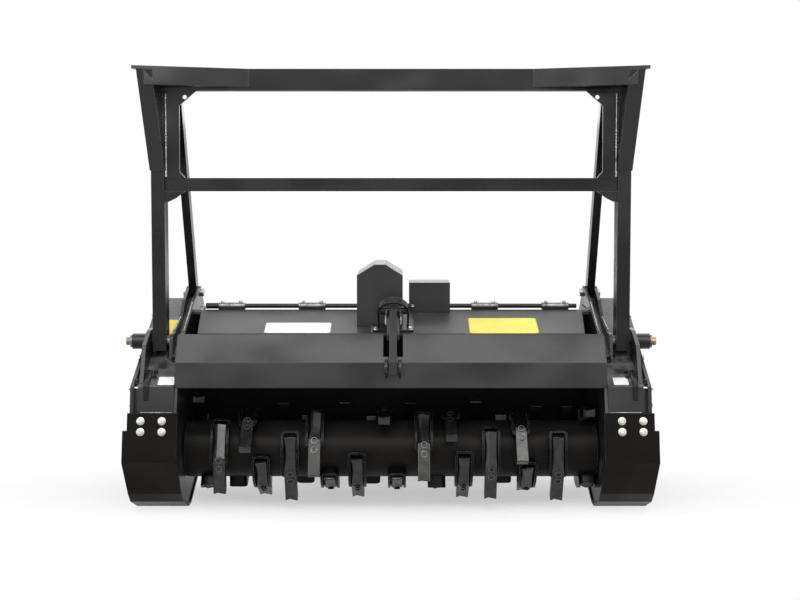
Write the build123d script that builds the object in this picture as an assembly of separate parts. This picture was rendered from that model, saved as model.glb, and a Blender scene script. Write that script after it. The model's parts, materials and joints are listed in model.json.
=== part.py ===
from build123d import *
import math
import os

# Drum mulcher head for a compact loader, seen from the front along +Y.
# +X is to the right, the machine's front faces -Y and the floor is Z = 0.
# Side outlines are (depth, height) pairs: depth runs back from the machine's nose.

# Whole machine
cutting_width = 1567
slack = 0.3
overrun = 20

# Housing
plate_sheet = 12
end_plate_rise = 29
box_width = 130
box_wall = 8
cover_sheet = 13
cover_groove = 16
cover_groove_depth = 20
housing_depth = 815
housing_height = 770
deck_sheet = 10
deck_front_depth = 250
deck_rear_depth = 480
deck_rear_drop = 32
deck_drop = 69
arm_slot_taper = 20
arm_slot = 50
arm_slot_end = 22
wall_sheet = 12

# Drum
drum_depth = 276
drum_height = 224
drum_radius = 107
drum_end_gap = 6
chamber_gap = 44
wall_lean = 20
wall_flare = 65
back_foot_gap = 16
back_heel_reach = 49
shaft_radius = 40
bearing_radius = 85
bearing_length = 40
tip_radius = 202
holder_width = 68
holder_radius = 150
holder_floor = 121
tooth_width = 46
tooth_face_radius = 150

# Gate
gate_sheet = 10
gate_gap = 6
gate_end_gap = 5.5
gate_bottom_depth = 63
gate_bottom_drop = 179
gate_crease_depth = 75
gate_crease_drop = 87
gate_top_depth = 144
gate_top_rise = 10
arm_sheet = 14
arm_boss_radius = 20
arm_boss_length = 28
gate_pin_radius = 12
gate_corner = 14
notch_width = 72
notch_floor = 24
lug_gap = 40
lug_sheet = 10
lug_radius = 20
lug_pin_radius = 10

# Gate cylinder
cylinder_offset = 8
eye_reach = 45
eye_drop = 12
base_pin_lead = 20
base_pin_rise = 90
barrel_radius = 25
barrel_bore = 19
barrel_length = 136
barrel_floor = 30
barrel_lug_radius = 20
barrel_lug_width = 34
base_pin_radius = 11
rod_radius = 14
rod_overlap = 30
rod_eye_radius = 18
rod_eye_width = 20
bar_width = 28
bar_sheet = 6
bar_offset = 31.5
bar_top_gap = 4
bar_drop = 45
piston_length = 14

# Cylinder guard on the deck
strap_outer = 60
strap_inner = 52
strap_front = 12
strap_back = 14
foot_plate_half = 78
foot_plate_front = 8
foot_plate_back = 27
foot_plate_margin = 12

# Push frame
pivot_depth = 272
pivot_rise = 43.6
post_width = 50
post_depth = 75
post_wall = 5
post_centre = 877
post_foot = 33
bar_top = 1665
top_bar_height = 82
top_bar_depth = 50
mid_bar_size = 50
mid_bar_centre = 1233
wing_inner = 530
wing_outer = 926
wing_reach = 150
wing_height = 68
wing_tube = 50
wing_lip = 14
wing_lip_sheet = 12
strut_size = 56
strut_tip = 6
strut_drop = 380
gusset_sheet = 10
gusset_set_back = 6
gusset_reach = 98
gusset_hole_radius = 7
small_gusset_reach = 63
small_gusset_drop = 37
brace_width = 32
brace_depth = 50
brace_wall = 5
brace_top_depth = 290
brace_foot_set_back = 161
brace_foot_rise = 23
brace_foot_radius = 26
brace_bolt_radius = 11
brace_bolt_head_radius = 19
brace_bolt_head = 13

# Pivot ears and pins
rib_sheet = 12
ear_sheet = 15
ear_gap = 8
pivot_pin_radius = 16
pivot_boss_radius = 30
boss_end = 984
pivot_washer_radius = 24
pivot_washer = 8
pivot_head_radius = 15
pivot_head = 16

# Skid shoes
shoe_sheet = 12
shoe_length = 500
shoe_height = 402
shoe_outer = 977
shoe_inner = 778
shoe_step = 16
shoe_step_height = 338

# Guards on top
hood_centre = -44
hood_width = 176
hood_top_width = 42
hood_shoulder_rise = 148
hood_top_rise = 189.5
hood_front = 310
hood_back = 612
hood_wall = 5
cover_centre = 150
cover_width = 161
cover_rise = 110
cover_front = 446
cover_back = 606
cover_lip = 6
hinge_rod_radius = 9
hinge_line_rise = 14
hinge_tab_drop = 14
hinge_tab_reach = 26
rear_cover_drop = 3
hinge_barrel_radius = 13
hinge_barrel_length = 104
hinge_rod_half = 735

# Quick coupler and rear
coupler_width = 1150
coupler_sheet = 12
coupler_set_back = 175
coupler_bottom = 92
coupler_top = 560
lip_reach = 62
lip_drop = 46
shelf_reach = 74
shelf_sheet = 16
slot_spacing = 914
slot_width = 26
slot_length = 64
web_sheet = 20
web_centres = (150, 430)
foot_length = 90

plate_inner = cutting_width / 2
plate_outer = plate_inner + plate_sheet
box_outer = plate_outer + box_width
rib_inner = plate_outer + brace_width + slack
ear_inner = post_centre + post_width / 2 + ear_gap
hinge_line_depth = deck_rear_depth + hinge_barrel_radius
deck_rear_height = housing_height - deck_rear_drop
deck_front_height = deck_rear_height - deck_drop
gate_bottom_height = deck_front_height - gate_bottom_drop
gate_crease_height = deck_front_height - gate_crease_drop
gate_top_height = deck_front_height + gate_top_rise
hood_shoulder = deck_rear_height + hood_shoulder_rise
hood_top = deck_rear_height + hood_top_rise
cover_top = deck_rear_height + cover_rise
hinge_line_height = deck_rear_height + hinge_line_rise
eye_depth = gate_crease_depth - eye_reach
eye_height = gate_crease_height - eye_drop
base_pin_depth = deck_front_depth - base_pin_lead
base_pin_height = deck_front_height + base_pin_rise
brace_foot_depth = housing_depth - brace_foot_set_back
brace_foot_height = housing_height + brace_foot_rise
coupler_depth = housing_depth + coupler_set_back
machine_length = coupler_depth + shelf_reach
wall_depth = drum_depth + tip_radius + chamber_gap


def along(depth):
    return depth - machine_length / 2


def sized(shares, depth, height):
    return [(across * depth, up * height) for across, up in shares]


# Moves a path square to itself, to the left of its direction, with mitred corners
def shifted(path, distance):
    moved = []
    for index, here in enumerate(path):
        normals = []
        for start, end in zip(path[max(index - 1, 0):index + 1], path[max(index, 1):index + 2]):
            run = math.dist(start, end)
            normals.append(((start[1] - end[1]) / run, (end[0] - start[0]) / run))
        across = sum(normal[0] for normal in normals)
        up = sum(normal[1] for normal in normals)
        reach = distance * len(normals) / (across ** 2 + up ** 2)
        moved.append((here[0] + across * reach, here[1] + up * reach))
    return moved


def strip(path, thickness):
    return path + shifted(path, thickness)[::-1]


# A closed outline drawn anticlockwise, moved in by a wall
def inset(outline, wall):
    return shifted(outline[-1:] + outline + outline[:1], wall)[1:-1]


# A side outline stretched along X from one plane to another
def slab(outline, low, high):
    points = [(along(depth), height) for depth, height in outline]
    face = make_face(Polyline(*points, close=True))
    return Pos(low, 0, 0) * extrude(Plane.YZ * face, amount=high - low)


# A cylinder along X through a place in the side view
def axle(depth, height, radius, low, high):
    disc = Plane.YZ * Circle(radius)
    return Pos(low, along(depth), height) * extrude(disc, amount=high - low)


def block(low, high):
    size = [end - start for start, end in zip(low, high)]
    middle = [(end + start) / 2 for start, end in zip(low, high)]
    return Pos(*middle) * Box(*size)


# An outline in plan, (across, depth) pairs, raised from one height to another
def plan_slab(points, low, high):
    face = make_face(Polyline(*[(across, along(depth)) for across, depth in points], close=True))
    return Pos(0, 0, low) * extrude(face, amount=high - low)


def between(start, end, share):
    return tuple(a + (b - a) * share for a, b in zip(start, end))


parts = {}


def keep(name, shape):
    parts[name] = shape


def keep_pair(name, shape):
    keep(f"{name}_right", shape)
    keep(f"{name}_left", mirror(shape, about=Plane.YZ))


# Small like pieces on one body share a node, both sides together
def keep_both(name, shapes):
    keep(name, Compound(shapes + [mirror(shape, about=Plane.YZ) for shape in shapes]))


# The gate closes against this line, so the housing's front edge follows it
gate_path = [
    (gate_bottom_depth, gate_bottom_height),
    (gate_crease_depth, gate_crease_height),
    (gate_top_depth, gate_top_height),
]
gate_back = shifted(gate_path, -gate_sheet)
housing_mouth = shifted(gate_path, -gate_sheet - gate_gap)

deck_path = [(deck_front_depth, deck_front_height), (deck_rear_depth, deck_rear_height)]

shoe_shares = [
    (0.074, 1.0), (0.0, 0.56), (0.21, 0.218), (0.3, 0.116), (0.542, 0.0), (0.66, 0.0), (1.0, 0.157),
]
shoe_path = sized(shoe_shares, shoe_length, shoe_height)
shoe_inside = shifted(shoe_path, shoe_sheet)

# Front face above the shoe, the long sloping top and the rear
box_shares = [(0.08, 0.6416), (0.783, 1.0), (0.93, 0.985), (1.0, 0.9), (1.0, 0.57), (0.86, 0.255)]
box_path = shoe_inside + sized(box_shares, housing_depth, housing_height)[::-1]
box_slope = sized(box_shares, housing_depth, housing_height)[:2]


def slope_height(depth):
    (low_depth, low), (high_depth, high) = box_slope
    return low + (high - low) * (depth - low_depth) / (high_depth - low_depth)


pivot_height = slope_height(pivot_depth) + pivot_rise


# End plates: the chamber's side walls, with the brace lug rising at the back
def end_plate():
    lug = (brace_foot_depth, brace_foot_height)
    lug_front = (lug[0] - brace_foot_radius * 0.7, lug[1] + brace_foot_radius * 0.7)
    rim = (deck_rear_depth, deck_rear_height + end_plate_rise)
    rear_edge = sized([(0.982, 0.88), (0.97, 0.57), (0.84, 0.255)], housing_depth, housing_height)
    outline = (
        shoe_inside[::-1] + housing_mouth
        + [(deck_front_depth, deck_front_height), rim, lug_front, (lug[0] + brace_foot_radius, lug[1])]
        + rear_edge
    )
    plate = slab(outline, plate_inner, plate_outer)
    plate += axle(*lug, brace_foot_radius, plate_inner, plate_outer)
    plate -= axle(*lug, brace_bolt_radius, plate_inner - overrun, plate_outer + overrun)
    plate -= axle(drum_depth, drum_height, shaft_radius + slack * 10, plate_inner - overrun, plate_outer + overrun)
    plate -= axle(pivot_depth, pivot_height, gate_pin_radius, plate_inner - overrun, plate_outer + overrun)
    return plate


# Side boxes: hollow drive housings outside the end plates
def side_box():
    outer = slab(box_path, plate_outer, box_outer)
    return outer - slab(inset(box_path, box_wall), plate_outer - overrun, box_outer + overrun)


# The cover stands off the box on a smaller spacer, which leaves a groove round it
def side_cover():
    face = box_outer + cover_groove
    spacer = slab(inset(box_path, cover_groove_depth), box_outer, face)
    return spacer + slab(box_path, face, face + cover_sheet)


# Skid shoes: one bent plate each, the upper part narrower than the runner
def skid_shoe():
    shoe = slab(strip(shoe_path, shoe_sheet), shoe_inner, shoe_outer)
    step_low = (shoe_outer - shoe_step, along(-overrun), shoe_step_height)
    step_high = (shoe_outer + overrun, along(shoe_length), shoe_height + overrun)
    return shoe - block(step_low, step_high)


# Central deck with the slots that the gate's arms swing in
def deck():
    plate = slab(strip(deck_path, -deck_sheet), -plate_inner, plate_inner)
    front, back = deck_front_depth - overrun, deck_rear_depth - arm_slot_end
    outer, inner = plate_inner + overrun, plate_inner - arm_slot
    outline = [(outer, front), (outer, back), (inner + arm_slot_taper, back), (inner, front)]
    slot = plan_slab(outline, 0, housing_height)
    return plate - slot - mirror(slot, about=Plane.YZ)


# Rear wall of the mulching chamber, from the deck down behind the drum
wall_depths = (deck_rear_depth - wall_lean, wall_depth, wall_depth, wall_depth + wall_flare)
wall_height_shares = (0.98, 0.72, 0.36, 0.16)
wall_path = [(depth, share * deck_rear_height) for depth, share in zip(wall_depths, wall_height_shares)]


def chamber_wall():
    return slab(strip(wall_path, wall_sheet), -plate_inner, plate_inner) - deck()


# Rear cover: from the hinge line back and down to the chamber wall's foot
back_shares = [(0.955, 0.9), (0.982, 0.84), (0.97, 0.55)]
back_foot_share = 0.17
back_heel_share = 0.2
back_foot_depth = wall_path[-1][0] + back_foot_gap
hinge_reach = hinge_barrel_radius * math.sqrt(0.5)
back_path = [(hinge_line_depth + hinge_reach, deck_rear_height - rear_cover_drop)]
back_path += sized(back_shares, housing_depth, housing_height)
back_path += [
    (back_foot_depth + back_heel_reach, housing_height * back_heel_share),
    (back_foot_depth, housing_height * back_foot_share),
]


def rear_cover():
    return slab(strip(back_path, -wall_sheet), -plate_inner, plate_inner)


keep_pair("end_plate", end_plate())
keep_pair("side_box", side_box())
keep_pair("side_cover", side_cover())
keep_pair("skid_shoe", skid_shoe())
keep("deck", deck())
keep("chamber_wall", chamber_wall())
keep("rear_cover", rear_cover())

# Rotor: each tooth's place along X as a share of the cutting width, and its tip angle,
# which is 0 at the front and 90 at the top
teeth_shares = [
    {"across": -0.4719, "tip": 95}, {"across": -0.4390, "tip": 200}, {"across": -0.4093, "tip": -47},
    {"across": -0.3757, "tip": 165}, {"across": -0.3447, "tip": 11.5}, {"across": -0.3099, "tip": -105},
    {"across": -0.2686, "tip": 120}, {"across": -0.2408, "tip": -68}, {"across": -0.2117, "tip": 150},
    {"across": -0.1827, "tip": -20}, {"across": -0.1478, "tip": -133}, {"across": -0.1149, "tip": 117},
    {"across": -0.0813, "tip": -100}, {"across": -0.0491, "tip": 152}, {"across": -0.0168, "tip": 46.5},
    {"across": 0.0142, "tip": -133}, {"across": 0.0465, "tip": 117}, {"across": 0.0788, "tip": -26},
    {"across": 0.1110, "tip": 180}, {"across": 0.1433, "tip": 25}, {"across": 0.1743, "tip": -98},
    {"across": 0.2079, "tip": 110}, {"across": 0.2389, "tip": -60}, {"across": 0.2750, "tip": 150},
    {"across": 0.3105, "tip": -2.5}, {"across": 0.3267, "tip": -113.5}, {"across": 0.3615, "tip": 130},
    {"across": 0.3990, "tip": -68}, {"across": 0.4377, "tip": 130.5}, {"across": 0.4745, "tip": 204},
    {"across": 0.4745, "tip": 58},
]
drum_half = plate_inner - drum_end_gap
holder_lead = 33
holder_tail = 105
tooth_tail = 101
tooth_bend = 44
tooth_flat_end = 95
tooth_root = 41
tip_lean = -6
arc_step = 15


# A point about the drum's axis, its angle counted from the tip to the trailing side
def polar(radius, trailing):
    angle = math.radians(-trailing)
    return (radius * math.cos(angle), radius * math.sin(angle))


# An arc in flat steps, so that the many holders and teeth stay light
def arc(radius, start, end):
    steps = round(abs(end - start) / arc_step)
    return [polar(radius, start + (end - start) * step / steps) for step in range(steps + 1)]


def swept(points, width):
    face = Plane.YZ * make_face(Polyline(*points, close=True))
    return Pos(-width / 2, 0, 0) * extrude(face, amount=width)


# A flat-stepped ring seated just clear of the drum, with a channel for the tooth
def holder():
    root = (drum_radius + slack / 3) / math.cos(math.radians(arc_step / 2))
    body = swept(arc(holder_radius, holder_lead, holder_tail) + arc(root, holder_tail, holder_lead), holder_width)
    beyond = holder_radius + overrun
    channel = arc(beyond, 0, tooth_tail) + arc(holder_floor, tooth_tail, tooth_root) + [polar(holder_floor, 0)]
    return body - swept(channel, tooth_width)


tip_inner_share = 0.87
tip_notch_share = 0.18


def tooth():
    face_angles = (tooth_bend, tooth_flat_end, tooth_tail)
    outer = [polar(tip_radius, 0)] + [polar(tooth_face_radius, angle) for angle in face_angles]
    inner = arc(holder_floor, tooth_tail, tooth_root) + [polar(tip_radius * tip_inner_share, tip_lean)]
    body = swept(outer + inner, tooth_width)
    notch = tooth_width * tip_notch_share
    groove = Pos(0, tip_radius, 0) * Rot(0, 0, 45) * Box(notch, notch, tip_radius)
    return body - groove


def turned(shape, place):
    spin = Rot(180 - place["tip"], 0, 0)
    return Pos(place["across"] * cutting_width, along(drum_depth), drum_height) * spin * shape


def all_round(shape):
    return Compound([turned(shape, place) for place in teeth_shares])


def rotor_drum():
    drum = axle(drum_depth, drum_height, drum_radius, -drum_half, drum_half)
    stub = plate_outer + bearing_length
    return drum + axle(drum_depth, drum_height, shaft_radius, -stub, stub)


keep("rotor_drum", rotor_drum())
keep("rotor_holders", all_round(holder()))
keep("rotor_teeth", all_round(tooth()))

bearing = axle(drum_depth, drum_height, bearing_radius, plate_outer, plate_outer + bearing_length)
bearing -= axle(drum_depth, drum_height, shaft_radius + slack / 3, 0, boss_end)
keep_both("rotor_bearings", [bearing])

# Gate: bent flap, its arms and the lugs for the cylinder
gate_half = plate_outer - gate_end_gap


def gate_panel():
    panel = slab(strip(gate_path, -gate_sheet), -gate_half, gate_half)
    corners = [edge for edge in panel.edges() if edge.length < gate_sheet + slack]
    panel = fillet([edge for edge in corners if edge.center().Z < gate_crease_height], gate_corner)
    floor_share = notch_floor / math.dist(gate_path[1], gate_path[2])
    floor_depth, floor_height = between(gate_path[1], gate_path[2], floor_share)
    notch_low = (cylinder_offset - notch_width / 2, along(floor_depth - overrun * 2), floor_height)
    notch_high = (cylinder_offset + notch_width / 2, along(pivot_depth), gate_top_height + overrun)
    panel -= block(notch_low, notch_high)
    lug_outline = [
        gate_back[0], (eye_depth, eye_height - lug_radius), (eye_depth, eye_height + lug_radius),
        between(gate_path[1], gate_path[2], floor_share / 2),
        between(gate_back[1], gate_back[2], floor_share / 2),
    ]
    lug_outline[0] = between(gate_back[0], gate_back[1], 1 / 3)
    for side in (-1, 1):
        faces = sorted((side * lug_gap / 2, side * (lug_gap / 2 + lug_sheet)))
        low, high = (cylinder_offset + face for face in faces)
        lug = slab(lug_outline, low, high) + axle(eye_depth, eye_height, lug_radius, low, high)
        lug -= axle(eye_depth, eye_height, lug_pin_radius, low - overrun, high + overrun)
        panel += lug
    return panel


def gate_arm():
    middle = plate_inner - arm_slot / 2
    low, high = middle - arm_sheet / 2, middle + arm_sheet / 2
    outline = [
        between(gate_back[0], gate_back[1], 0.55), gate_back[1], gate_back[2],
        (pivot_depth - arm_boss_radius / 2, pivot_height + arm_boss_radius * 0.87),
        (pivot_depth + arm_boss_radius / 2, pivot_height - arm_boss_radius * 0.87),
    ]
    arm = slab(outline, low, high)
    boss_low, boss_high = middle - arm_boss_length / 2, middle + arm_boss_length / 2
    arm += axle(pivot_depth, pivot_height, arm_boss_radius, boss_low, boss_high)
    return arm - axle(pivot_depth, pivot_height, gate_pin_radius + slack / 3, boss_low - overrun, boss_high + overrun)


def gate_pin():
    middle = plate_inner - arm_slot / 2
    inner = middle - arm_boss_length / 2 - gate_gap
    pin = axle(pivot_depth, pivot_height, gate_pin_radius, inner, plate_outer)
    return pin + axle(pivot_depth, pivot_height, arm_boss_radius * 0.9, inner - gate_gap, inner)


keep("gate_panel", gate_panel())
keep_pair("gate_arm", gate_arm())
keep_both("gate_pins", [gate_pin()])

# Gate cylinder, drawn along its own axis from the rod's eye up to the base pin
cylinder_run = (base_pin_depth - eye_depth, base_pin_height - eye_height)
cylinder_length = math.hypot(*cylinder_run)
cylinder_lean = math.degrees(math.atan2(cylinder_run[1], cylinder_run[0]))
eye_plane = Plane(
    origin=(cylinder_offset, along(eye_depth), eye_height),
    x_dir=(1, 0, 0),
    z_dir=(0, cylinder_run[0], cylinder_run[1]),
)


def on_cylinder(distance, offset):
    run = (cylinder_run[0] / cylinder_length, cylinder_run[1] / cylinder_length)
    return (
        eye_depth + run[0] * distance - run[1] * offset,
        eye_height + run[1] * distance + run[0] * offset,
    )


def tube_along(radius, start, end):
    return eye_plane * Pos(0, 0, start) * extrude(Circle(radius), amount=end - start)


def gate_barrel():
    front = cylinder_length - barrel_length
    barrel = tube_along(barrel_radius, front, cylinder_length - barrel_lug_radius * 0.9)
    half = barrel_lug_width / 2
    barrel += axle(base_pin_depth, base_pin_height, barrel_lug_radius, cylinder_offset - half, cylinder_offset + half)
    barrel -= tube_along(barrel_bore, front + piston_length, cylinder_length - barrel_floor)
    barrel -= tube_along(rod_radius + slack / 3, front - overrun, front + piston_length + overrun)
    hole = base_pin_radius + slack / 3
    return barrel - axle(base_pin_depth, base_pin_height, hole, -foot_plate_half, foot_plate_half)


def gate_rod():
    reach = cylinder_length - barrel_length + rod_overlap
    rod = tube_along(rod_radius, 0, reach)
    rod += tube_along(barrel_bore - slack, reach - piston_length, reach)
    half = rod_eye_width / 2
    low, high = cylinder_offset - half, cylinder_offset + half
    rod += axle(eye_depth, eye_height, rod_eye_radius, low, high)
    web_path = [on_cylinder(0, 0), on_cylinder(rod_eye_radius * 2, 0)]
    rod += slab(strip(web_path, bar_offset + bar_sheet / 2), low, high)
    rod -= axle(eye_depth, eye_height, lug_pin_radius, low - overrun, high + overrun)
    top = on_cylinder(cylinder_length - bar_top_gap, bar_offset)
    bend = on_cylinder(0, bar_offset)
    path = [top, bend, (bend[0], bend[1] - bar_drop)]
    half = bar_width / 2
    rod += slab(strip(path, -bar_sheet), cylinder_offset - half, cylinder_offset + half)
    return rod


keep("gate_barrel", gate_barrel())
keep("gate_rod", gate_rod())


# Guard strap over the cylinder's base, standing on a foot plate on the deck
def cylinder_guard():
    reach = strap_outer * 3
    low, high = -strap_back, strap_front
    arch = Circle(strap_outer) + Pos(0, -reach / 2) * Rectangle(strap_outer * 2, reach)
    arch -= Circle(strap_inner) + Pos(0, -reach / 2 - overrun) * Rectangle(strap_inner * 2, reach + overrun * 2)
    face_plane = Plane(
        origin=(cylinder_offset, along(base_pin_depth), base_pin_height),
        x_dir=(1, 0, 0),
        z_dir=(0, -cylinder_run[0], -cylinder_run[1]),
    )
    strap = face_plane * Pos(0, 0, low) * extrude(arch, amount=high - low)
    ends = (cylinder_offset - foot_plate_half, cylinder_offset + foot_plate_half)
    margin = foot_plate_margin / math.dist(*deck_path)
    front, back = between(*deck_path, margin), between(*deck_path, 1 - margin)
    foot = [(front[0], front[1] + foot_plate_front), (back[0], back[1] + foot_plate_back)]
    guard = strap - slab(foot + [(back[0], 0), (front[0], 0)], ends[0] - overrun, ends[1] + overrun)
    guard += slab(foot + [back, front], *ends)
    guard += axle(base_pin_depth, base_pin_height, base_pin_radius, cylinder_offset - strap_inner, cylinder_offset + strap_inner)
    half = barrel_lug_width / 2 + slack
    for side in (-1, 1):
        faces = sorted((cylinder_offset + side * half, cylinder_offset + side * strap_inner))
        guard += axle(base_pin_depth, base_pin_height, base_pin_radius * 1.3, *faces)
    return guard


keep("cylinder_guard", cylinder_guard())

# Push frame: posts, bars, forward wings, struts, gussets and rear braces
post_front = pivot_depth - post_depth / 2
post_back = pivot_depth + post_depth / 2
bar_bottom = bar_top - top_bar_height
bar_back = post_front + top_bar_depth
post_inner = post_centre - post_width / 2
post_outer = post_centre + post_width / 2


def tube_block(low, high, wall, axis):
    outer = block(low, high)
    inner_low = [value + (0 if index == axis else wall) for index, value in enumerate(low)]
    inner_high = [value - (0 if index == axis else wall) for index, value in enumerate(high)]
    inner_low[axis] -= overrun
    inner_high[axis] += overrun
    return outer - block(inner_low, inner_high)


def push_post():
    foot = pivot_height - post_foot
    post = tube_block(
        (post_inner, along(post_front), foot), (post_outer, along(post_back), bar_bottom), post_wall, 2)
    sleeve = pivot_pin_radius + post_wall * 2
    post += axle(pivot_depth, pivot_height, sleeve, post_inner, post_outer)
    post -= slab(inset(box_path, -slack), post_inner - overrun, post_outer + overrun)
    return post - axle(pivot_depth, pivot_height, pivot_pin_radius, post_inner - overrun, post_outer + overrun)


def top_bar():
    return block((-post_outer, along(post_front), bar_bottom), (post_outer, along(bar_back), bar_top))


def mid_bar():
    half = mid_bar_size / 2
    low = (-post_inner, along(pivot_depth - half), mid_bar_centre - half)
    high = (post_inner, along(pivot_depth + half), mid_bar_centre + half)
    return block(low, high)


wing_front = post_front - wing_reach


# One wing reaches forward from the top bar to its strut, under a thin lip
def wing_outline(end):
    lean = math.atan2(wing_reach, wing_outer + wing_lip - wing_inner)
    step = wing_tube / math.cos(lean)
    front = post_front - (end - wing_inner) * math.tan(lean)
    return [
        (wing_inner, post_front), (end, front), (end, front + step),
        (wing_inner + step / math.tan(lean), post_front),
    ]


def wing():
    roof = bar_top - wing_lip_sheet
    tube = plan_slab(wing_outline(wing_outer - strut_size / 2), bar_top - wing_height, roof)
    return tube - strut() + plan_slab(wing_outline(wing_outer + wing_lip), roof, bar_top)


# A square tube from one place to another, places as (x, depth, height)
def strut_between(start, end, width, depth_size):
    low = Vector(start[0], along(start[1]), start[2])
    high = Vector(end[0], along(end[1]), end[2])
    plane = Plane(origin=low, x_dir=(1, 0, 0), z_dir=high - low)
    return plane * extrude(Rectangle(width, depth_size), amount=(high - low).length)


# Closed wedge that carries the wing's end from the front of the post
def strut():
    top_front = wing_front + wing_lip
    levels = (
        (wing_outer - strut_size / 2, top_front, bar_top - wing_lip_sheet),
        (post_centre, post_front - strut_tip, bar_top - strut_drop),
    )
    sections = []
    for across, front, height in levels:
        middle = Pos(across, along((front + post_front) / 2), height)
        sections.append(middle * Rectangle(strut_size, post_front - front))
    return loft(sections, ruled=True)


gusset_shares = [
    (0.0, 0.0), (0.5, 0.0), (0.34, 0.12), (0.34, 0.82), (1.0, 1.0), (0.0, 1.0),
]
gusset_hole_shares = (0.69, 0.907)


# The tall gusset between the bars and the small one under the lower bar
def post_gusset():
    mid_top = mid_bar_centre + mid_bar_size / 2
    mid_bottom = mid_bar_centre - mid_bar_size / 2
    rise = bar_bottom - mid_top
    points = [(post_inner - across * gusset_reach, mid_top + up * rise) for across, up in gusset_shares]
    hole_across, hole_up = gusset_hole_shares
    hole = Pos(post_inner - hole_across * gusset_reach, mid_top + hole_up * rise) * Circle(gusset_hole_radius)
    small = [
        (post_inner, mid_bottom), (post_inner - small_gusset_reach, mid_bottom),
        (post_inner, mid_bottom - small_gusset_drop),
    ]
    origin = (0, along(post_front + gusset_set_back), 0)
    plane = Plane(origin=origin, x_dir=(1, 0, 0), z_dir=(0, -1, 0)) * Pos(0, 0, -gusset_sheet)
    faces = [make_face(Polyline(*points, close=True)) - hole, make_face(Polyline(*small, close=True))]
    return Compound([plane * extrude(face, amount=gusset_sheet) for face in faces])


def rear_brace():
    middle = plate_outer + slack + (brace_width - slack) / 2
    foot = (middle, brace_foot_depth, brace_foot_height)
    top = (middle, brace_top_depth, bar_bottom + top_bar_height / 2)
    run = math.dist(foot, top)
    wide = brace_width - slack * 2
    brace = strut_between(foot, top, wide, brace_depth)
    bore = strut_between(foot, top, wide - brace_wall * 2, brace_depth - brace_wall * 2)
    clear = brace_foot_radius * 2
    brace -= Pos(0, (top[1] - foot[1]) * clear / run, (top[2] - foot[2]) * clear / run) * bore
    half = wide / 2
    brace += axle(brace_foot_depth, brace_foot_height, brace_foot_radius, middle - half, middle + half)
    brace -= axle(brace_foot_depth, brace_foot_height, brace_bolt_radius, 0, boss_end)
    roof = (0, along(0), bar_bottom)
    brace -= block(roof, (boss_end, along(machine_length), bar_top + overrun))
    return brace - slab(inset(box_path, -slack), 0, boss_end)


def hex_head(depth, height, radius, low, high):
    head = Plane.YZ * RegularPolygon(radius, 6)
    return Pos(low, along(depth), height) * extrude(head, amount=high - low)


def brace_bolt():
    low = plate_inner - brace_bolt_head
    high = rib_inner + rib_sheet + brace_bolt_head
    place = (brace_foot_depth, brace_foot_height)
    bolt = axle(*place, brace_bolt_radius, low, high)
    bolt += hex_head(*place, brace_bolt_head_radius, low, plate_inner)
    return bolt + hex_head(*place, brace_bolt_head_radius, rib_inner + rib_sheet, high)


keep_pair("push_post", push_post())
keep("push_top_bar", top_bar())
keep("push_mid_bar", mid_bar())
keep_pair("push_wing", wing())
keep_pair("push_strut", strut())
keep_pair("post_gusset", post_gusset())
keep_pair("rear_brace", rear_brace())
keep_both("brace_bolts", [brace_bolt()])


# Ribs: inner ear at the front, low edge over the side box, lug for the brace at the back
def rib():
    back = brace_foot_depth + brace_foot_radius
    outline = [
        (pivot_depth - pivot_boss_radius * 1.6, slope_height(pivot_depth - pivot_boss_radius * 1.6)),
        (pivot_depth - pivot_boss_radius * 0.9, pivot_height + pivot_boss_radius * 0.5),
        (pivot_depth + pivot_boss_radius * 1.5, pivot_height + pivot_boss_radius * 1.2),
        (brace_foot_depth - brace_foot_radius * 7.2, deck_front_height + brace_foot_radius * 1.5),
        (brace_foot_depth - brace_foot_radius * 4.3, brace_foot_height - brace_foot_radius * 0.8),
        (brace_foot_depth - brace_foot_radius * 0.7, brace_foot_height + brace_foot_radius * 0.7),
        (back, brace_foot_height),
        (back + brace_foot_radius, deck_rear_height),
    ]
    low, high = rib_inner, rib_inner + rib_sheet
    plate = slab(outline, low, high)
    plate += axle(brace_foot_depth, brace_foot_height, brace_foot_radius, low, high)
    plate += axle(pivot_depth, pivot_height, pivot_boss_radius, low, high)
    plate -= slab(box_path, 0, boss_end)
    plate -= axle(brace_foot_depth, brace_foot_height, brace_bolt_radius, 0, boss_end)
    return plate - axle(pivot_depth, pivot_height, pivot_pin_radius, 0, boss_end)


def ear():
    front_low = between(box_path[-1], shoe_inside[0], 0.5)
    outline = [
        front_low,
        (gate_top_depth, pivot_height),
        (pivot_depth - pivot_boss_radius, pivot_height + pivot_boss_radius * 1.5),
        (pivot_depth + pivot_boss_radius, pivot_height + pivot_boss_radius * 1.6),
        (pivot_depth + pivot_boss_radius * 5, slope_height(pivot_depth + pivot_boss_radius * 5)),
    ]
    plate = slab(outline, ear_inner, ear_inner + ear_sheet)
    plate -= slab(box_path, 0, boss_end)
    return plate - axle(pivot_depth, pivot_height, pivot_pin_radius, 0, boss_end)


def pivot_pin():
    place = (pivot_depth, pivot_height)
    pin = axle(*place, pivot_pin_radius, rib_inner, boss_end)
    pin += axle(*place, pivot_boss_radius, ear_inner + ear_sheet, boss_end)
    pin += axle(*place, pivot_washer_radius, boss_end, boss_end + pivot_washer)
    end = boss_end + pivot_washer
    return pin + axle(*place, pivot_head_radius, end, end + pivot_head)


keep_pair("pivot_rib", rib())
keep_pair("pivot_ear", ear())
keep_both("pivot_pins", [pivot_pin()])


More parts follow.
